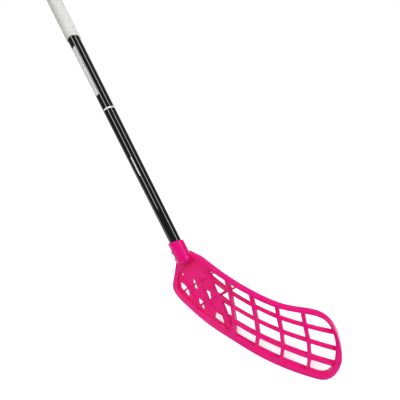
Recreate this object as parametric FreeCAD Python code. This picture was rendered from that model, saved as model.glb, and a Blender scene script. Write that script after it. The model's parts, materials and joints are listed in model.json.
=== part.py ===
import FreeCAD, Part
import math
import os

# Frame: floor at z = 0, +X along the blade to its toe, +Z up, origin on the sole where the hook starts.
# Lengths are millimetres and angles degrees. "Along" values run up the shaft axis from the floor.

# Shaft
SHAFT_LIE = 47.2
SHAFT_FOOT_X = -50.8
SHAFT_FOOT_Y = 9.2
SHAFT_OD = 18.0
SHAFT_WALL = 1.8
SHAFT_LENGTH = 601.0
SHAFT_SEAT_GAP = 0.3

# Hosel of the blade: a socket for the shaft with an oblique mouth, faired into the blade
HOSEL_OD = 24.0
HOSEL_MOUTH_ALONG = 137.9
HOSEL_MOUTH_SLOPE = 0.29
HOSEL_SOCKET_DEPTH = 29.5
HOSEL_FLOOR_THICKNESS = 1.2
HOSEL_BORE_CLEARANCE = 0.08
FAIRING_LENGTH = 7.0
FAIRING_END_HALF_WIDTH = 9.5
FAIRING_END_HALF_DEPTH = 3.4
FAIRING_END_OFFSET = 3.2

# Blade surface: straight at the heel, a parabola towards the toe, leaning and tilted as it rises
HOOK_CURVATURE = 1.99e-3
FACE_LEAN = 0.544
FACE_TILT = 0.207
RIM_DEPTH = 7.5
RIB_DEPTH = 4.4
HEEL_BAR_DEPTH = 4.2
WEB_DEPTH = 1.6

# Ribs and bars
LONG_UPPER_WIDTH = 3.0
LONG_MIDDLE_WIDTH = 2.8
LONG_LOWER_WIDTH = 4.4
RIB_SECOND_WIDTH = 5.2
RIB_THIRD_WIDTH = 4.5
RIB_FOURTH_WIDTH = 4.4
HEEL_BAR_WIDTH = 3.0
THIN_BAR_WIDTH = 1.7
WIDE_BAR_WIDTH = 5.0
CELL_CORNER_ROUND = 1.3
LEAST_KINK = 0.95
LEAST_POCKET_AREA = 6.0

# Round pocket under the end of the fairing
POCKET_X = -106.5
POCKET_Z = 59.0
POCKET_RADIUS = 11.0

# Screws that hold the blade on the shaft, measured down from the mouth of the hosel
SCREW_FROM_MOUTH = (24.6, 13.6)
SCREW_TURN = 45.0
SCREW_HEAD_DIAMETER = 7.0
SCREW_HEAD_HEIGHT = 2.3
SCREW_HEAD_SIDE = 0.9
SCREW_HEAD_FLAT = 4.6
SCREW_DIAMETER = 3.5
SCREW_LENGTH = 8.0
SCREW_TIP_LENGTH = 1.6
SCREW_SLOT_WIDTH = 0.9
SCREW_SLOT_LENGTH = 4.2
SCREW_SLOT_DEPTH = 1.2
SCREW_SEAT_DEPTH = 0.7
SCREW_SEAT_CLEARANCE = 0.3
SCREW_HOLE_CLEARANCE = 0.08

# Grip, bands and cap
GRIP_LENGTH = 229.5
GRIP_CAP_GAP = 1.5
GRIP_PITCH = 21.0
GRIP_LAP_GAP = 0.12
GRIP_START_TURN = 0.37
GRIP_CLEARANCE = 0.2
GRIP_THICK_EDGE = 1.0
GRIP_THIN_EDGE = 0.75
FINISH_BAND_WIDTH = 5.0
FINISH_BAND_THICKNESS = 1.0
FINISH_BAND_GAP = 0.1
RING_FROM_MOUTH = 220.2
RING_WIDTH = 2.4
RING_THICKNESS = 0.35
BAND_CLEARANCE = 0.04
BAND_EDGE_SHARE = 0.35
CAP_FLANGE_DIAMETER = 22.4
CAP_FLANGE_HEIGHT = 6.0
CAP_DOME_HEIGHT = 2.4
CAP_TOP_DIAMETER = 12.0
CAP_EDGE_BREAK = 0.5
CAP_SEAT_GAP = 0.1
CAP_STEM_LENGTH = 26.0
CAP_STEM_TAPER = 1.2
CAP_STEM_CLEARANCE = 0.06

# Outline of the blade seen along Y, as (x, z): sole, toe, top, behind the hosel, heel
OUTLINE = ((-49.4, 0.5), (-30.0, -0.5), (0.0, -0.6), (30.0, -0.6), (60.0, -0.6), (88.0, -0.6),
           (100.5, -0.2), (109.3, 1.3), (115.3, 4.9), (119.4, 11.5), (120.8, 19.5), (120.2, 28.0),
           (117.8, 34.6), (111.4, 46.3), (103.1, 58.0), (92.4, 69.2), (84.7, 74.3), (76.4, 77.9),
           (68.1, 79.5), (58.0, 79.4), (45.9, 78.0), (28.6, 76.1), (9.9, 76.1), (-19.0, 78.1),
           (-50.8, 80.8), (-78.7, 84.9), (-97.4, 88.7), (-106.0, 89.7), (-114.0, 89.4), (-122.5, 89.2),
           (-130.0, 86.0), (-135.5, 78.0), (-137.6, 69.0), (-136.6, 60.0), (-134.8, 48.5),
           (-133.4, 38.0), (-131.9, 28.1), (-129.1, 22.3), (-124.2, 17.7), (-111.6, 12.0),
           (-99.1, 8.9), (-83.0, 5.3), (-67.7, 2.7))

# Inner edge of the rim round the lattice, from the top of the first rib by the toe to its foot
LATTICE_EDGE = ((-50.0, 76.2), (-36.0, 75.3), (-17.6, 74.0), (9.0, 72.5), (25.0, 72.8), (51.0, 75.5),
                (60.0, 76.4), (69.0, 76.6), (79.0, 74.6), (87.0, 70.2), (92.0, 65.8), (97.9, 58.6),
                (101.6, 53.1), (105.6, 45.5), (109.0, 36.0), (111.6, 28.0), (112.6, 20.0), (112.0, 13.5),
                (110.0, 9.3), (106.4, 6.5), (101.0, 5.4), (94.4, 5.6), (84.0, 6.4), (50.0, 7.8),
                (20.0, 8.3), (-14.0, 7.9))
FIRST_RIB_EDGE = ((-14.0, 7.9), (-20.4, 25.3), (-30.6, 44.8), (-40.2, 62.5), (-44.4, 68.3), (-50.0, 76.2))

# Rib centre lines, as (x, z)
RIB_SECOND = ((-17.6, 77.5), (-7.0, 61.0), (3.5, 44.0), (13.1, 25.2), (17.6, 4.0))
RIB_THIRD = ((18.6, 76.0), (28.0, 59.5), (38.4, 43.0), (47.3, 24.6), (52.4, 4.0))
RIB_FOURTH = ((51.4, 78.0), (62.0, 59.8), (73.0, 42.2), (82.0, 23.2), (87.4, 3.0))
LONG_UPPER = ((-50.0, 63.6), (-10.0, 61.0), (28.0, 59.5), (62.0, 59.8), (104.0, 59.0))
LONG_MIDDLE = ((-38.0, 45.2), (0.0, 44.0), (37.0, 43.0), (72.0, 42.2), (116.0, 38.9))
LONG_LOWER = ((-26.0, 25.4), (10.0, 25.2), (46.0, 24.6), (80.0, 23.2), (118.0, 20.5))

# Heel lattice: the lowered area, its bars and its through holes, as (x, z)
HEEL_AREA = ((-54.5, 77.0), (-50.5, 71.0), (-45.0, 62.0), (-35.5, 45.5), (-26.0, 27.5), (-24.5, 20.0),
             (-21.5, 9.6), (-42.0, 10.0), (-54.0, 11.4), (-72.0, 12.6), (-83.0, 13.2), (-97.5, 17.0),
             (-112.0, 21.6), (-119.5, 25.5), (-123.5, 31.0), (-126.0, 40.0), (-127.0, 51.4),
             (-122.0, 62.0), (-114.0, 76.0), (-110.0, 85.0), (-95.0, 83.6), (-78.0, 80.6), (-66.9, 78.3))
BAR_UPPER = ((-92.0, 70.6), (-47.0, 64.4))
BAR_MIDDLE = ((-100.5, 55.6), (-71.5, 51.7), (-34.6, 45.6))
BAR_LOWER = ((-61.4, 25.4), (-24.3, 25.6))
THIN_ONE = ((-120.0, 14.6), (-107.0, 31.0), (-96.8, 46.6), (-80.0, 67.1))
THIN_TWO = ((-86.1, 7.1), (-76.3, 22.5), (-54.9, 52.0), (-43.2, 67.4), (-36.0, 77.0))
WIDE_ONE = ((-101.3, 61.7), (-78.2, 41.0), (-56.4, 23.3), (-29.9, 7.5))
WIDE_TWO = ((-85.7, 77.3), (-53.4, 45.4), (-34.4, 25.2), (-20.9, 8.3))
WIDE_THREE = ((-128.9, 49.4), (-102.3, 33.6), (-83.9, 14.0))
HEEL_HOLES = (((-123.6, 52.2), (-119.2, 49.6), (-123.6, 46.6)),
              ((-121.4, 36.8), (-107.6, 35.0), (-112.6, 26.0), (-117.0, 28.0)),
              ((-104.9, 33.5), (-109.8, 26.2), (-105.5, 23.1), (-99.2, 22.4)),
              ((-103.7, 53.0), (-97.8, 50.1), (-98.2, 45.8), (-100.6, 46.2)),
              ((-98.0, 46.2), (-95.0, 46.4), (-90.2, 40.0), (-95.9, 40.2)),
              ((-78.4, 47.6), (-71.2, 47.2), (-65.9, 37.6), (-68.9, 35.0), (-73.4, 40.0)),
              ((-85.1, 28.6), (-76.3, 27.2), (-77.6, 21.5), (-80.5, 19.8)),
              ((-74.2, 23.3), (-76.5, 18.0), (-74.2, 16.4), (-69.7, 16.4)),
              ((-52.7, 23.5), (-42.5, 23.4), (-34.0, 11.8), (-50.2, 11.6)),
              ((-48.3, 43.6), (-34.6, 42.6), (-29.4, 30.6), (-35.6, 29.7)),
              ((-72.2, 63.4), (-51.3, 60.4), (-57.2, 50.9), (-60.9, 52.2)),
              ((-46.0, 61.3), (-52.9, 52.0), (-39.7, 49.6)),
              ((-81.7, 77.4), (-77.6, 76.8), (-79.7, 73.5)),
              ((-77.4, 73.0), (-74.7, 76.9), (-56.4, 75.0), (-51.8, 67.6)))

# Derived values
SHAFT_R = SHAFT_OD / 2.0
HOSEL_R = HOSEL_OD / 2.0
HOSEL_FLOOR_ALONG = HOSEL_MOUTH_ALONG - HOSEL_SOCKET_DEPTH
HOSEL_BOTTOM_ALONG = HOSEL_FLOOR_ALONG - HOSEL_FLOOR_THICKNESS
FAIRING_END_ALONG = HOSEL_BOTTOM_ALONG - FAIRING_LENGTH
SCREW_ALONG = [HOSEL_MOUTH_ALONG - down for down in SCREW_FROM_MOUTH]
SHAFT_BOTTOM_ALONG = HOSEL_FLOOR_ALONG + SHAFT_SEAT_GAP
SHAFT_TOP_ALONG = SHAFT_BOTTOM_ALONG + SHAFT_LENGTH
GRIP_BOTTOM_ALONG = SHAFT_TOP_ALONG - GRIP_CAP_GAP - GRIP_LENGTH
FINISH_BAND_ALONG = GRIP_BOTTOM_ALONG - FINISH_BAND_GAP - FINISH_BAND_WIDTH
RING_ALONG = HOSEL_MOUTH_ALONG + RING_FROM_MOUTH
AXIS_TURN = FreeCAD.Rotation(FreeCAD.Vector(0, 1, 0), SHAFT_LIE - 90.0)
FOOT = FreeCAD.Vector(SHAFT_FOOT_X, SHAFT_FOOT_Y, 0)
AXIS = FreeCAD.Placement(FOOT, AXIS_TURN)
RISE = FreeCAD.Vector(-FACE_LEAN, FACE_TILT, 1.0)

# Reach of the solids that cut the blade, well clear of it, and steps of the sweeps
SLAB_HEEL = -170.0
SLAB_TOE = 180.0
SLAB_STEPS = 24
SLAB_TOLERANCE = 0.03
SLAB_BELOW = 6.0
SLAB_TOP = 104.0
PRISM_FRONT = -60.0
PRISM_LENGTH = 180.0
CUT_OVER = 3.0
SWEEPS_PER_TURN = 4
SWEEP_JOIN = 0.001


def vec(x, y, z):
    return FreeCAD.Vector(x, y, z)


def on_axis(shape, along=0.0):
    up = FreeCAD.Placement(vec(0, 0, along), FreeCAD.Rotation())
    placed = shape.copy()
    placed.Placement = AXIS.multiply(up).multiply(shape.Placement)
    return placed


# Plan view of the blade surface at the floor, offset towards the front (negative) or the back
def plan_point(u, offset):
    bent = max(0.0, u)
    slope = 2.0 * HOOK_CURVATURE * bent
    norm = math.sqrt(1.0 + slope * slope)
    return vec(u - offset * slope / norm, HOOK_CURVATURE * bent * bent + offset / norm, 0)


def plan_arc(offset):
    points = [plan_point(SLAB_TOE * i / SLAB_STEPS, offset) for i in range(SLAB_STEPS + 1)]
    spline = Part.BSplineCurve()
    spline.approximate(points, DegMin=3, DegMax=8, Tolerance=SLAB_TOLERANCE)
    return spline


def slab(front, back):
    first = plan_arc(front)
    second = plan_arc(back)
    first_heel = plan_point(SLAB_HEEL, front)
    second_heel = plan_point(SLAB_HEEL, back)
    sides = [Part.LineSegment(first_heel, first.StartPoint), first,
             Part.LineSegment(first.EndPoint, second.EndPoint), second,
             Part.LineSegment(second.StartPoint, second_heel), Part.LineSegment(second_heel, first_heel)]
    face = Part.Face(Part.Wire(Part.__sortEdges__([side.toShape() for side in sides])))
    face.translate(RISE * -SLAB_BELOW)
    return face.extrude(RISE * (SLAB_TOP + SLAB_BELOW))


# What lies in front of and behind the middle of the blade by more than half a depth
def outside(depth):
    far = RIM_DEPTH / 2.0 + CUT_OVER
    return slab(-far, -depth / 2.0), slab(depth / 2.0, far)


def flat(points):
    return [vec(x, PRISM_FRONT, z) for x, z in points]


def polygon(points):
    corners = flat(points)
    return Part.Face(Part.makePolygon(corners + corners[:1]))


def bar(points, width):
    half = width / 2.0
    left = []
    right = []
    for i, (x, z) in enumerate(points):
        x0, z0 = points[max(0, i - 1)]
        x1, z1 = points[min(len(points) - 1, i + 1)]
        run = math.hypot(x1 - x0, z1 - z0)
        nx = -(z1 - z0) / run * half
        nz = (x1 - x0) / run * half
        left.append((x + nx, z + nz))
        right.append((x - nx, z - nz))
    return polygon(left + right[::-1])


def prism(face):
    return face.extrude(vec(0, PRISM_LENGTH, 0))


# Rounds the upright edges where two flat walls meet, apart from the slight kinks of a rib
def round_corners(solid, radius):
    edges = []
    for edge in solid.Edges:
        walls = solid.ancestorsOfType(edge, Part.Face)
        upright = abs(edge.tangentAt(edge.FirstParameter).y) > 0.999
        if upright and all(wall.Surface.TypeId == "Part::GeomPlane" for wall in walls):
            first, second = [wall.Surface.Axis for wall in walls]
            if abs(first.dot(second)) < LEAST_KINK:
                edges.append(edge)
    return solid.makeFillet(radius, edges) if edges else solid


def open_areas(area, bars):
    left = area
    for item in bars:
        left = left.cut(item)
    return left.Faces


def blade_body():
    spline = Part.BSplineCurve()
    spline.interpolate(flat(OUTLINE), True)
    first, last = spline.FirstParameter, spline.LastParameter
    middle = (first + last) / 2.0
    halves = [spline.toShape(first, middle), spline.toShape(middle, last)]
    outline = prism(Part.Face(Part.Wire(halves)))
    body = outline.common(slab(-RIM_DEPTH / 2.0, RIM_DEPTH / 2.0)).Solids[0]
    size = 4.0 * SLAB_TOE
    return body.cut(Part.makeBox(size, size, size, vec(-size / 2.0, -size / 2.0, -size))).Solids[0]


def lattice_area():
    spline = Part.BSplineCurve()
    spline.interpolate(flat(LATTICE_EDGE))
    rib = Part.makePolygon(flat(FIRST_RIB_EDGE))
    return Part.Face(Part.Wire(Part.__sortEdges__([spline.toShape()] + rib.Edges)))


def make_blade():
    body = blade_body()
    lattice = lattice_area()
    ribs = [bar(RIB_SECOND, RIB_SECOND_WIDTH), bar(RIB_THIRD, RIB_THIRD_WIDTH),
            bar(RIB_FOURTH, RIB_FOURTH_WIDTH), bar(LONG_UPPER, LONG_UPPER_WIDTH),
            bar(LONG_MIDDLE, LONG_MIDDLE_WIDTH), bar(LONG_LOWER, LONG_LOWER_WIDTH),
            bar(THIN_TWO, THIN_BAR_WIDTH)]
    cells = [round_corners(prism(face), CELL_CORNER_ROUND) for face in open_areas(lattice, ribs)]
    heel = polygon(HEEL_AREA)
    bars = [bar(points, HEEL_BAR_WIDTH) for points in (BAR_UPPER, BAR_MIDDLE, BAR_LOWER)]
    bars += [bar(points, THIN_BAR_WIDTH) for points in (THIN_ONE, THIN_TWO)]
    bars += [bar(points, WIDE_BAR_WIDTH) for points in (WIDE_ONE, WIDE_TWO, WIDE_THREE)]
    pockets = [prism(face) for face in open_areas(heel, bars) if face.Area > LEAST_POCKET_AREA]
    body = body.cut([prism(heel).common(side) for side in outside(HEEL_BAR_DEPTH)])
    body = body.cut([prism(lattice).common(side) for side in outside(RIB_DEPTH)])
    body = body.cut([pocket.common(side) for side in outside(WEB_DEPTH) for pocket in pockets])
    return body.cut(cells + [prism(polygon(hole)) for hole in HEEL_HOLES])


def make_hosel():
    tube = Part.makeCylinder(HOSEL_R, HOSEL_MOUTH_ALONG + HOSEL_OD - HOSEL_BOTTOM_ALONG,
                             vec(0, 0, HOSEL_BOTTOM_ALONG))
    size = 4.0 * HOSEL_OD
    above = Part.makeBox(size, size, size, vec(-size / 2.0, -size / 2.0, 0))
    above.rotate(vec(0, 0, 0), vec(1, 0, 0), -math.degrees(math.atan(HOSEL_MOUTH_SLOPE)))
    above.translate(vec(0, 0, HOSEL_MOUTH_ALONG))
    circle = Part.Circle(vec(0, 0, HOSEL_BOTTOM_ALONG), vec(0, 0, 1), HOSEL_R).toShape()
    oval = Part.Ellipse(vec(0, 0, 0), FAIRING_END_HALF_WIDTH, FAIRING_END_HALF_DEPTH).toShape()
    oval.translate(vec(0, FAIRING_END_OFFSET, FAIRING_END_ALONG))
    fairing = Part.makeLoft([Part.Wire(oval), Part.Wire(circle)], True, True)
    return on_axis(tube.cut(above).fuse(fairing))


def round_pocket():
    circle = Part.Circle(vec(POCKET_X, PRISM_FRONT, POCKET_Z), vec(0, 1, 0), POCKET_RADIUS).toShape()
    face = Part.Face(Part.Wire(circle))
    return prism(face).common(slab(-RIM_DEPTH - HOSEL_OD, -WEB_DEPTH / 2.0))


def socket():
    reach = HOSEL_SOCKET_DEPTH + HOSEL_OD
    return on_axis(Part.makeCylinder(SHAFT_R + HOSEL_BORE_CLEARANCE, reach), HOSEL_FLOOR_ALONG)


def screw_place(shape, along):
    turn = math.radians(SCREW_TURN)
    outward = FreeCAD.Rotation(vec(0, 0, 1), vec(-math.cos(turn), -math.sin(turn), 0))
    placed = shape.copy()
    placed.Placement = FreeCAD.Placement(vec(0, 0, 0), outward)
    return on_axis(placed, along)


def make_screw():
    seat = HOSEL_R - SCREW_SEAT_DEPTH
    top = seat + SCREW_HEAD_HEIGHT
    tip = seat - SCREW_LENGTH
    core = SCREW_DIAMETER / 2.0
    head = SCREW_HEAD_DIAMETER / 2.0
    points = ((0.0, tip), (core, tip + SCREW_TIP_LENGTH), (core, seat), (head, seat),
              (head, seat + SCREW_HEAD_SIDE), (SCREW_HEAD_FLAT / 2.0, top), (0.0, top), (0.0, tip))
    screw = revolved(points)
    for x, y in ((SCREW_SLOT_LENGTH, SCREW_SLOT_WIDTH), (SCREW_SLOT_WIDTH, SCREW_SLOT_LENGTH)):
        corner = vec(-x / 2.0, -y / 2.0, top - SCREW_SLOT_DEPTH)
        screw = screw.cut(Part.makeBox(x, y, SCREW_HEAD_HEIGHT, corner))
    return screw


def screw_hole():
    return Part.makeCylinder(SCREW_DIAMETER / 2.0 + SCREW_HOLE_CLEARANCE, HOSEL_R)


def screw_seat():
    radius = SCREW_HEAD_DIAMETER / 2.0 + SCREW_SEAT_CLEARANCE
    return Part.makeCylinder(radius, HOSEL_R, vec(0, 0, HOSEL_R - SCREW_SEAT_DEPTH))


def revolved(points):
    profile = Part.makePolygon([vec(radius, 0, z) for radius, z in points])
    return Part.Face(profile).revolve(vec(0, 0, 0), vec(0, 0, 1), 360)


def ring(inner, outer, height):
    return Part.makeCylinder(outer, height).cut(Part.makeCylinder(inner, height))


def make_shaft():
    return on_axis(ring(SHAFT_R - SHAFT_WALL, SHAFT_R, SHAFT_LENGTH), SHAFT_BOTTOM_ALONG)


# A strip wound with its thin edge under the next turn: part of a turn is swept, copied and joined
def make_grip():
    inner = SHAFT_R + GRIP_CLEARANCE
    width = GRIP_PITCH - GRIP_LAP_GAP
    section = ((inner, 0.0), (inner + GRIP_THICK_EDGE, 0.0), (inner + GRIP_THIN_EDGE, width), (inner, width))
    points = [vec(radius, 0, z) for radius, z in section]
    rise = GRIP_PITCH / SWEEPS_PER_TURN
    pipe = Part.BRepOffsetAPI.MakePipeShell(Part.Wire(Part.makeHelix(GRIP_PITCH, rise, inner).Edges))
    pipe.setFrenetMode(True)
    pipe.add(Part.makePolygon(points + points[:1]))
    pipe.build()
    pipe.makeSolid()
    sweeps = []
    for i in range(-2 * SWEEPS_PER_TURN, int(GRIP_LENGTH / rise) + 2):
        sweep = pipe.shape().copy()
        sweep.rotate(vec(0, 0, 0), vec(0, 0, 1), 360.0 * i / SWEEPS_PER_TURN)
        sweep.translate(vec(0, 0, GRIP_START_TURN * GRIP_PITCH + i * rise))
        sweeps.append(sweep)
    strip = sweeps[0].fuse(sweeps[1:], SWEEP_JOIN)
    trim = Part.makeCylinder(inner + 2.0 * GRIP_THICK_EDGE, GRIP_LENGTH)
    return on_axis(strip.common(trim).Solids[0], GRIP_BOTTOM_ALONG)


def make_band(along, width, thickness):
    inner = SHAFT_R + BAND_CLEARANCE
    outer = inner + thickness
    band = ring(inner, outer, width)
    rims = [edge for edge in band.Edges if edge.isClosed() and edge.Curve.Radius > inner + thickness / 2.0]
    return on_axis(band.makeChamfer(thickness * BAND_EDGE_SHARE, rims), along)


def make_cap():
    flange_r = CAP_FLANGE_DIAMETER / 2.0
    stem_r = SHAFT_R - SHAFT_WALL - CAP_STEM_CLEARANCE
    top = CAP_FLANGE_HEIGHT + CAP_DOME_HEIGHT
    points = ((0.0, top), (0.0, -CAP_STEM_LENGTH), (stem_r - CAP_STEM_TAPER, -CAP_STEM_LENGTH),
              (stem_r, CAP_STEM_TAPER - CAP_STEM_LENGTH), (stem_r, 0.0), (flange_r - CAP_EDGE_BREAK, 0.0),
              (flange_r, CAP_EDGE_BREAK), (flange_r, CAP_FLANGE_HEIGHT - CAP_EDGE_BREAK),
              (flange_r - CAP_EDGE_BREAK, CAP_FLANGE_HEIGHT), (CAP_TOP_DIAMETER / 2.0, top), (0.0, top))
    return on_axis(revolved(points), SHAFT_TOP_ALONG + CAP_SEAT_GAP)


def save(shape, name):
    shape.exportStep(os.path.join("parts", name + ".step"))
    print(name, "solids", len(shape.Solids), "valid", shape.isValid(), "volume", round(shape.Volume, 1))


os.makedirs("parts", exist_ok=True)
blade = make_blade().fuse(make_hosel()).cut(round_pocket()).cut(socket())
shaft = make_shaft()
for along in SCREW_ALONG:
    blade = blade.cut(screw_place(screw_hole(), along)).cut(screw_place(screw_seat(), along))
    shaft = shaft.cut(screw_place(screw_hole(), along))
save(blade, "blade")
save(shaft, "shaft_tube")
save(Part.makeCompound([screw_place(make_screw(), along) for along in SCREW_ALONG]), "blade_screws")
save(make_grip(), "grip_tape")
save(make_band(FINISH_BAND_ALONG, FINISH_BAND_WIDTH, FINISH_BAND_THICKNESS), "finishing_band")
save(make_band(RING_ALONG, RING_WIDTH, RING_THICKNESS), "shaft_ring")
save(make_cap(), "end_cap")
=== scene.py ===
import bmesh
import bpy
import json
import math
from mathutils import Matrix, Vector


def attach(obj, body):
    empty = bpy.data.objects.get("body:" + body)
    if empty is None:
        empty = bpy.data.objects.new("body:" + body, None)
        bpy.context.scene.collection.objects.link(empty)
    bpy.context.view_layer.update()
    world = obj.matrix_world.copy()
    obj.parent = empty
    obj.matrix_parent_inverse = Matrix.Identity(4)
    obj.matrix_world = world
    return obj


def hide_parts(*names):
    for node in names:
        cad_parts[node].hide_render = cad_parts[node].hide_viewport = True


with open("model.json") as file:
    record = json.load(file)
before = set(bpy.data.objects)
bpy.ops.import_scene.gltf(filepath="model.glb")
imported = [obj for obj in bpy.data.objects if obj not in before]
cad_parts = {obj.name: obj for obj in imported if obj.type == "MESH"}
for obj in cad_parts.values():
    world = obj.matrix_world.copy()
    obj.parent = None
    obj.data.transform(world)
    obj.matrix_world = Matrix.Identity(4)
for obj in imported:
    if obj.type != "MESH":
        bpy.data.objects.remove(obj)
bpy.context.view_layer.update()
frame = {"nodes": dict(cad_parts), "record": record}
scene = bpy.context.scene
nodes = frame["nodes"]

# Camera, fitted to the photograph: right, up and back directions, and place in metres
CAMERA_RIGHT = (0.852191, 0.489377, 0.185149)
CAMERA_UP = (-0.352551, 0.27558, 0.894295)
CAMERA_BACK = (0.386624, -0.827385, 0.407377)
CAMERA_PLACE = (0.010404, -0.266465, 0.318579)
CAMERA_LENS = 22.185
CAMERA_SENSOR = 36.0
CAMERA_NEAR = 0.01

# Shaft axis, from the mount at the butt end. "Along" values run up it from the floor, in metres.
BUTT = [mount for mount in frame["record"]["mounts"] if mount["name"] == "butt_end"][0]
AXIS = Vector(BUTT["axis"])
FOOT = Vector(BUTT["pos_m"]) - AXIS * (BUTT["pos_m"][2] / AXIS.z)

# Directions square to the shaft: to the camera and to its side, and level and across for the winding
TO_CAMERA = Vector(CAMERA_PLACE) - FOOT
FRONT = (TO_CAMERA - AXIS * TO_CAMERA.dot(AXIS)).normalized()
SIDE = AXIS.cross(FRONT)
LEVEL = Vector((0.0, 1.0, 0.0))
ACROSS = LEVEL.cross(AXIS)

# Level direction from the camera to the backdrop behind the stick
BEHIND = Vector((-CAMERA_BACK[0], -CAMERA_BACK[1], 0.0)).normalized()

# Colours, linear
PINK = (0.79, 0.005, 0.22)
# Deep pink is painted shade for the blade's hollows and corners
PINK_PAINTED_SHADE = (0.78, 0.003, 0.10)
BLACK = (0.001, 0.001, 0.0012)
MARK_WHITE = (0.85, 0.85, 0.83)
WHITE = (0.80, 0.80, 0.78)
WHITE_DULL = (0.77, 0.77, 0.75)
STEEL = (0.56, 0.56, 0.58)
STEEL_DULL = (0.50, 0.50, 0.52)
RUBBER = (0.014, 0.014, 0.014)
RUBBER_DULL = (0.02, 0.02, 0.02)
FLOOR = (0.82, 0.82, 0.82)
BACKDROP = (1.0, 1.0, 1.0)

# Surfaces: ROUGH is a range of roughness, GRAIN a noise's scale and detail, BUMP a strength and a height
BLADE_SPECULAR = 0.22
BLADE_ROUGH = (0.12, 0.18)
BLADE_GRAIN = (900.0, 2.0)
BLADE_BUMP = (0.02, 0.0003)
SHAFT_SPECULAR = 0.8
SHAFT_ROUGH = (0.05, 0.09)
SHAFT_GRAIN = (260.0, 3.0)
SHAFT_WAVES = (420.0, 1.0)
SHAFT_BUMP = (0.02, 0.0002)
GRIP_SPECULAR = 0.3
GRIP_ROUGH = (0.6, 0.8)
GRIP_GRAIN = (500.0, 3.0)
GRIP_PORES = 300.0
GRIP_BUMP = (0.01, 0.0003)
PLAIN_SPECULAR = 0.5
SCREW_ROUGH = (0.25, 0.4)
SCREW_GRAIN = (600.0, 3.0)
SCREW_BUMP = (0.05, 0.0004)
BAND_ROUGH = (0.35, 0.5)
BAND_GRAIN = (500.0, 3.0)
RING_BUMP = (0.03, 0.0004)
FINISH_BUMP = (0.05, 0.0004)
CAP_ROUGH = (0.5, 0.7)
CAP_GRAIN = (500.0, 3.0)
CAP_BUMP = (0.1, 0.0004)
FLOOR_SPECULAR = 0.1
FLOOR_ROUGH = 0.9

# Blade plastic: rounding of its edges, and how much and how far red, green and blue light scatters inside.
# Painted shade: its hollows are tinted deep pink by ambient occlusion, standing in for light bounced between
# pink walls. Set here: how far off a wall counts, and how open a place is where plain pink starts and is
# full.
BLADE_EDGE_ROUND = 0.0022
BLADE_SCATTER = 0.6
BLADE_SCATTER_REACH = (0.004, 0.0003, 0.0012)
BLADE_SHADE_REACH = 0.04
BLADE_SHADE_OPENNESS = (0.55, 0.95)
BLADE_SAMPLES = 8

# Plain marks on the shaft: a wide stripe and a thin one, as along range and angle range from the front
WIDE_MARK = (0.383, 0.459, -88.0, -20.0)
THIN_MARK = (0.250, 0.281, -24.0, -15.0)

# Wound grip: pitch, where the first lap starts, step at a lap, and the section as (height, share of the step)
GRIP_PITCH = 0.021
GRIP_START_TURN = 0.37
GRIP_SPARE_LAPS = 2
GRIP_STEP = 0.0004
GRIP_COLUMNS = 72
GRIP_PROFILE = ((0.0, -0.3), (0.0002, 0.35), (0.0005, 0.8), (0.0012, 1.0), (0.006, 0.76), (0.013, 0.4),
                (0.0195, 0.06), (0.0206, 0.0))
GRIP_MERGE = 1e-7
GRIP_SHARP = 50.0

# Background and floor: the glow rises from its first level to its second over a reach from the origin
WORLD_LEVEL = 0.16
BACKDROP_LEVEL = 1.0
BACKDROP_FADE = (0.7, 0.95)
FLOOR_GLOW = (0.5, 0.92)
FLOOR_GLOW_REACH = (0.3, 1.2)
FLOOR_SIZE = 20.0
FLOOR_FRONT = -0.25
FLOOR_DROP = 0.0002

# Lamps
STRIP_DISTANCE = 0.9
KEY_PLACE = (-0.26, -0.48, 0.6)
KEY_AIM = (-0.04, 0.0, 0.03)
REAR_PLACE = (-0.1, 0.95, 0.6)
REAR_AIM = (-0.15, 0.0, 0.18)

# Sockets of a colour mix, by number because several share a name
MIX_SHARE = 0
MIX_FIRST = 6
MIX_SECOND = 7
MIX_RESULT = 2


# Matrix of a thing at a place, with its own axes along three directions
def placed(place, axes):
    return Matrix.Translation(place) @ Matrix(axes).transposed().to_4x4()


def add_camera():
    data = bpy.data.cameras.new("camera")
    data.sensor_width = CAMERA_SENSOR
    data.sensor_fit = "HORIZONTAL"
    data.lens = CAMERA_LENS
    data.clip_start = CAMERA_NEAR
    camera = bpy.data.objects.new("camera", data)
    camera.matrix_world = placed(CAMERA_PLACE, (CAMERA_RIGHT, CAMERA_UP, CAMERA_BACK))
    scene.collection.objects.link(camera)
    scene.camera = camera


# New shader node with its sockets' values and its settings
def add(tree, kind, values=None, **settings):
    node = tree.nodes.new("ShaderNode" + kind)
    for key, value in settings.items():
        setattr(node, key, value)
    for key, value in (values or {}).items():
        node.inputs[key].default_value = value
    return node


def link(tree, source, node, socket, output=0):
    tree.links.new(source.outputs[output], node.inputs[socket])


# Two numbers or nodes, joined by an operation
def math_node(tree, operation, first, second):
    node = add(tree, "Math", operation=operation)
    for i, value in enumerate((first, second)):
        if isinstance(value, (int, float)):
            node.inputs[i].default_value = value
        else:
            link(tree, value, node, i, "Value")
    return node


# A value carried from one range over to another
def map_node(tree, source, output, start, end=(0.0, 1.0)):
    limits = {"From Min": start[0], "From Max": start[1], "To Min": end[0], "To Max": end[1]}
    node = add(tree, "MapRange", limits)
    link(tree, source, node, "Value", output)
    return node


# How far a place or direction goes along a given direction
def dot_node(tree, source, output, direction):
    node = add(tree, "VectorMath", {1: direction}, operation="DOT_PRODUCT")
    link(tree, source, node, 0, output)
    return node


def mix_surfaces(tree, share, first, second, out):
    mix = add(tree, "MixShader")
    for socket, source in enumerate((share, first, second)):
        link(tree, source, mix, socket)
    link(tree, mix, out, "Surface")


def new_material(name, specular, metallic=0.0):
    material = bpy.data.materials.new(name)
    material.use_nodes = True
    tree = material.node_tree
    shader = tree.nodes["Principled BSDF"]
    shader.inputs["Specular IOR Level"].default_value = specular
    shader.inputs["Metallic"].default_value = metallic
    return material, tree, shader


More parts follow.
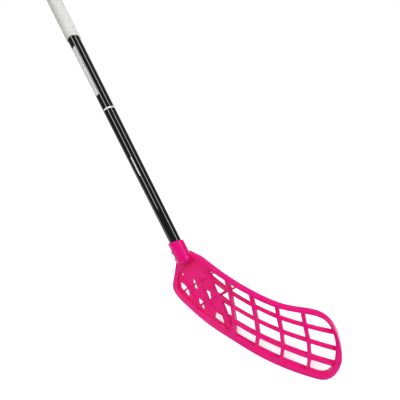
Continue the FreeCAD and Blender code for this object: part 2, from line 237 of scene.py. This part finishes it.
def noise(tree, grain):
    scale, detail = grain
    coords = add(tree, "TexCoord")
    texture = add(tree, "TexNoise", {"Scale": scale, "Detail": detail})
    link(tree, coords, texture, "Vector", "Object")
    return texture


def vary_roughness(tree, shader, texture, rough):
    node = map_node(tree, texture, "Fac", (0.0, 1.0), rough)
    link(tree, node, shader, "Roughness", "Result")


def vary_colour(tree, shader, source, output, first, second):
    colours = {MIX_FIRST: first + (1.0,), MIX_SECOND: second + (1.0,)}
    node = add(tree, "Mix", colours, data_type="RGBA")
    link(tree, source, node, MIX_SHARE, output)
    link(tree, node, shader, "Base Color", MIX_RESULT)


def add_bump(tree, shader, texture, bump, output="Fac"):
    strength, height = bump
    node = add(tree, "Bump", {"Strength": strength, "Distance": height})
    link(tree, texture, node, "Height", output)
    link(tree, node, shader, "Normal", "Normal")
    return node


# Plastic that lets a little light through. Painted shade tints its hollows deep pink by ambient occlusion,
# and its edges shine as rounded ones
def blade_material():
    material, tree, shader = new_material("blade_plastic", BLADE_SPECULAR)
    shader.inputs["Subsurface Weight"].default_value = BLADE_SCATTER
    shader.inputs["Subsurface Radius"].default_value = BLADE_SCATTER_REACH
    shader.inputs["Subsurface Scale"].default_value = 1.0
    # Painted shade: the less open a place on the blade, the more its pink turns to the deep pink
    shade_occlusion = add(tree, "AmbientOcclusion", {"Distance": BLADE_SHADE_REACH}, samples=BLADE_SAMPLES)
    shade_occlusion.only_local = True
    shade_share = map_node(tree, shade_occlusion, "AO", BLADE_SHADE_OPENNESS)
    vary_colour(tree, shader, shade_share, "Result", PINK_PAINTED_SHADE, PINK)
    grain = noise(tree, BLADE_GRAIN)
    vary_roughness(tree, shader, grain, BLADE_ROUGH)
    bump = add_bump(tree, shader, grain, BLADE_BUMP)
    edges = add(tree, "Bevel", {"Radius": BLADE_EDGE_ROUND}, samples=BLADE_SAMPLES)
    link(tree, edges, bump, "Normal", "Normal")
    return material


# One where a place on the shaft lies inside a mark, else zero
def mark_mask(tree, along, angle, mark):
    low, high, start, end = mark
    above = math_node(tree, "GREATER_THAN", along, low)
    below = math_node(tree, "LESS_THAN", along, high)
    after = math_node(tree, "GREATER_THAN", angle, math.radians(start))
    before = math_node(tree, "LESS_THAN", angle, math.radians(end))
    rows = math_node(tree, "MULTIPLY", above, below)
    columns = math_node(tree, "MULTIPLY", after, before)
    return math_node(tree, "MULTIPLY", rows, columns)


# Black lacquer with white marks, by place along the shaft and angle round it
def shaft_material():
    material, tree, shader = new_material("shaft_lacquer", SHAFT_SPECULAR)
    coords = add(tree, "TexCoord")
    place = add(tree, "VectorMath", {1: FOOT}, operation="SUBTRACT")
    link(tree, coords, place, 0, "Object")
    along, side, front = [dot_node(tree, place, "Vector", way) for way in (AXIS, SIDE, FRONT)]
    angle = math_node(tree, "ARCTAN2", side, front)
    wide, thin = [mark_mask(tree, along, angle, mark) for mark in (WIDE_MARK, THIN_MARK)]
    marks = math_node(tree, "MAXIMUM", wide, thin)
    vary_colour(tree, shader, marks, "Value", BLACK, MARK_WHITE)
    vary_roughness(tree, shader, noise(tree, SHAFT_GRAIN), SHAFT_ROUGH)
    add_bump(tree, shader, noise(tree, SHAFT_WAVES), SHAFT_BUMP)
    return material


# One grain varies the colour, the roughness and the height
def plain_material(name, first, second, rough, grain, bump, metallic=0.0):
    material, tree, shader = new_material(name, PLAIN_SPECULAR, metallic)
    texture = noise(tree, grain)
    vary_colour(tree, shader, texture, "Fac", first, second)
    vary_roughness(tree, shader, texture, rough)
    add_bump(tree, shader, texture, bump)
    return material


def screw_material():
    return plain_material("screw_steel", STEEL, STEEL_DULL, SCREW_ROUGH, SCREW_GRAIN, SCREW_BUMP,
                          metallic=1.0)


def ring_material():
    return plain_material("band_vinyl", WHITE, WHITE_DULL, BAND_ROUGH, BAND_GRAIN, RING_BUMP)


def finish_material():
    return plain_material("finish_tape", WHITE, WHITE_DULL, BAND_ROUGH, BAND_GRAIN, FINISH_BUMP)


def cap_material():
    return plain_material("cap_rubber", RUBBER, RUBBER_DULL, CAP_ROUGH, CAP_GRAIN, CAP_BUMP)


# Soft tape with fine pores
def grip_material():
    material, tree, shader = new_material("grip_wrap", GRIP_SPECULAR)
    grain = noise(tree, GRIP_GRAIN)
    vary_colour(tree, shader, grain, "Fac", WHITE, WHITE_DULL)
    vary_roughness(tree, shader, grain, GRIP_ROUGH)
    coords = add(tree, "TexCoord")
    pores = add(tree, "TexVoronoi", {"Scale": GRIP_PORES})
    link(tree, coords, pores, "Vector", "Object")
    add_bump(tree, shader, pores, GRIP_BUMP, "Distance")
    return material


def paint(piece, material):
    piece.data.materials.clear()
    piece.data.materials.append(material)


# Least and greatest place along the shaft of a node, and its inner and outer radius
def reach(name):
    places = [vertex.co - FOOT for vertex in nodes[name].data.vertices]
    along = [place.dot(AXIS) for place in places]
    radii = [(place - AXIS * place.dot(AXIS)).length for place in places]
    return min(along), max(along), min(radii), max(radii)


# Share of the step at a height above a lap line
def grip_share(up):
    rows = GRIP_PROFILE + ((GRIP_PITCH, GRIP_PROFILE[0][1]),)
    up = up % GRIP_PITCH
    row = max(i for i in range(len(GRIP_PROFILE)) if rows[i][0] <= up)
    low, first = rows[row]
    high, second = rows[row + 1]
    return first + (second - first) * (up - low) / (high - low)


def grip_point(build, turn, radius, along):
    angle = 2.0 * math.pi * turn
    out = ACROSS * math.cos(angle) + LEVEL * math.sin(angle)
    return build.verts.new(FOOT + AXIS * along + out * radius)


# The points up the grip at one turn round it, in rows that follow the lap lines and stop at both ends
def grip_column(build, turn, low, high, outer):
    column = []
    for lap in range(-GRIP_SPARE_LAPS, math.ceil((high - low) / GRIP_PITCH) + GRIP_SPARE_LAPS):
        line = low + GRIP_PITCH * (GRIP_START_TURN + lap + turn)
        for up, _ in GRIP_PROFILE:
            along = min(max(line + up, low), high)
            radius = outer - GRIP_STEP * (1.0 - grip_share(along - line))
            column.append(grip_point(build, turn, radius, along))
    return column


# Outer skin, both ends and bore. After a whole turn the rows have moved up by one lap.
def make_grip():
    low, high, inner, outer = reach("grip_tape")
    build = bmesh.new()
    turns = [i / GRIP_COLUMNS for i in range(GRIP_COLUMNS)]
    columns = [grip_column(build, turn, low, high, outer) for turn in turns]
    bottom, top = [[grip_point(build, turn, inner, along) for turn in turns] for along in (low, high)]
    for i in range(GRIP_COLUMNS):
        k = (i + 1) % GRIP_COLUMNS
        here = columns[i]
        there = columns[k]
        skipped = len(GRIP_PROFILE) if k == 0 else 0
        beside = there[skipped:]
        for j in range(len(beside) - 1):
            build.faces.new((here[j], beside[j], beside[j + 1], here[j + 1]))
        build.faces.new((here[0], bottom[i], bottom[k], there[0]))
        build.faces.new((here[-1], there[-1], top[k], top[i]))
        build.faces.new((bottom[i], top[i], top[k], bottom[k]))
    bmesh.ops.remove_doubles(build, verts=build.verts, dist=GRIP_MERGE)
    bmesh.ops.recalc_face_normals(build, faces=build.faces)
    mesh = bpy.data.meshes.new("grip_winding")
    build.to_mesh(mesh)
    build.free()
    mesh.shade_smooth()
    mesh.set_sharp_from_angle(angle=math.radians(GRIP_SHARP))
    piece = bpy.data.objects.new("grip_winding", mesh)
    scene.collection.objects.link(piece)
    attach(piece, "root")
    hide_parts("grip_tape")
    return piece


def new_lamp(name, power):
    data = bpy.data.lights.new(name, "AREA")
    data.energy = power
    lamp = bpy.data.objects.new(name, data)
    lamp.visible_camera = False
    scene.collection.objects.link(lamp)
    return lamp, data


# A long lamp parallel to the shaft, turned round it from the camera's side, for one highlight along the shaft
def add_strip(name, turn, low, high, width, power):
    lamp, data = new_lamp(name, power)
    data.shape = "RECTANGLE"
    data.size = width
    data.size_y = high - low
    out = FRONT * math.cos(math.radians(turn)) + SIDE * math.sin(math.radians(turn))
    place = FOOT + AXIS * ((low + high) / 2.0) + out * STRIP_DISTANCE
    lamp.matrix_world = placed(place, (AXIS.cross(out), AXIS, out))


# Soft square lamp, aimed at a point, with its beam's angle in degrees. It isn't mirrored.
def add_lamp(name, place, aim, size, spread, power):
    lamp, data = new_lamp(name, power)
    data.size = size
    data.spread = math.radians(spread)
    turn = (Vector(aim) - Vector(place)).to_track_quat("-Z", "Y")
    lamp.matrix_world = Matrix.Translation(place) @ turn.to_matrix().to_4x4()
    lamp.visible_glossy = False


# Share of white that a ray finds: all from the camera, and the backdrop's when mirrored or let through
def seen_ray(tree, backdrop):
    path = add(tree, "LightPath")
    glossy = add(tree, "Math", operation="MAXIMUM")
    link(tree, path, glossy, 0, "Is Glossy Ray")
    link(tree, path, glossy, 1, "Is Transmission Ray")
    mirrored = add(tree, "Math", operation="MULTIPLY")
    link(tree, glossy, mirrored, 0)
    link(tree, backdrop, mirrored, 1)
    seen = add(tree, "Math", operation="MAXIMUM")
    link(tree, path, seen, 0, "Is Camera Ray")
    link(tree, mirrored, seen, 1)
    return seen


# White wherever the camera looks. Mirrored, it is white only behind the stick, so that the shaft stays dark.
def add_world():
    world = bpy.data.worlds.new("studio")
    scene.world = world
    world.use_nodes = True
    tree = world.node_tree
    tree.nodes.clear()
    behind = dot_node(tree, add(tree, "TexCoord"), "Generated", BEHIND)
    seen = seen_ray(tree, map_node(tree, behind, "Value", BACKDROP_FADE))
    colour = BACKDROP + (1.0,)
    plain = add(tree, "Background", {"Color": colour, "Strength": WORLD_LEVEL})
    white = add(tree, "Background", {"Color": colour, "Strength": BACKDROP_LEVEL})
    mix_surfaces(tree, seen, plain, white, add(tree, "OutputWorld"))


# A floor that takes the shadow and glows towards white. It ends in front of the stick, so that the shaft
# mirrors less of it, and the white background hides its edge.
def add_floor():
    middle = FLOOR_FRONT + FLOOR_SIZE / 2.0
    bpy.ops.mesh.primitive_plane_add(size=FLOOR_SIZE, location=(0.0, middle, -FLOOR_DROP))
    floor = bpy.context.object
    floor.name = "floor"
    material, tree, shader = new_material("floor", FLOOR_SPECULAR)
    shader.inputs["Base Color"].default_value = FLOOR + (1.0,)
    shader.inputs["Roughness"].default_value = FLOOR_ROUGH
    coords = add(tree, "NewGeometry")
    behind = dot_node(tree, coords, "Position", BEHIND)
    seen = seen_ray(tree, math_node(tree, "GREATER_THAN", behind, 0.0))
    away = add(tree, "VectorMath", operation="LENGTH")
    link(tree, coords, away, 0, "Position")
    level = map_node(tree, away, "Value", FLOOR_GLOW_REACH, FLOOR_GLOW)
    glow = add(tree, "Emission")
    link(tree, level, glow, "Strength", "Result")
    both = add(tree, "AddShader")
    link(tree, shader, both, 0)
    link(tree, glow, both, 1)
    mix_surfaces(tree, seen, shader, both, tree.nodes["Material Output"])
    floor.data.materials.append(material)


scene.view_settings.view_transform = "Standard"
add_camera()
add_world()
add_floor()

paint(nodes["blade"], blade_material())
paint(nodes["shaft_tube"], shaft_material())
paint(nodes["blade_screws"], screw_material())
paint(nodes["shaft_ring"], ring_material())
paint(nodes["finishing_band"], finish_material())
paint(nodes["end_cap"], cap_material())
paint(make_grip(), grip_material())

add_strip("strip_left", turn=-25.4, low=0.2, high=1.2, width=0.18, power=4.0)
add_strip("strip_right", turn=47.2, low=-0.34, high=1.2, width=0.16, power=5.8)
add_lamp("key", KEY_PLACE, KEY_AIM, size=0.3, spread=80.0, power=0.36)
add_lamp("rear", REAR_PLACE, REAR_AIM, size=0.8, spread=160.0, power=3.2)
